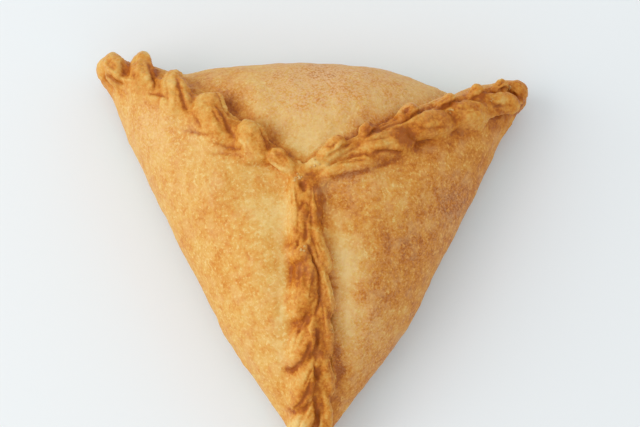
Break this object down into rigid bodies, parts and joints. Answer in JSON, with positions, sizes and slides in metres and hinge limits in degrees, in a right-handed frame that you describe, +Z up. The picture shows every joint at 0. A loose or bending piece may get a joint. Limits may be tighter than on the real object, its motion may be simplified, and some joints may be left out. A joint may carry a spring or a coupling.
{
  "type": "triangular savoury pasty",
  "caption": "Triangular baked pasty: a rounded pouch of browned dough with a flat base, its top closed by rope-crimped seams that run from the middle to each corner.",
  "frame": {"origin": "middle of the bounding box's bottom, on the table under the pasty", "axes": "+Z up from the flat base; +X along the longest side, from the left-hand corner to the right-hand one; +Y away from the third corner, which points to -Y"},
  "size_m": [0.1276, 0.1178, 0.0415],
  "materials": {
    "crust": "satin-matte golden-brown baked dough, paler in the valleys beside the seams and browner on the ropes"
  },
  "bodies": {
    "root": {"pasty": "crust"}
  },
  "joints": []
}
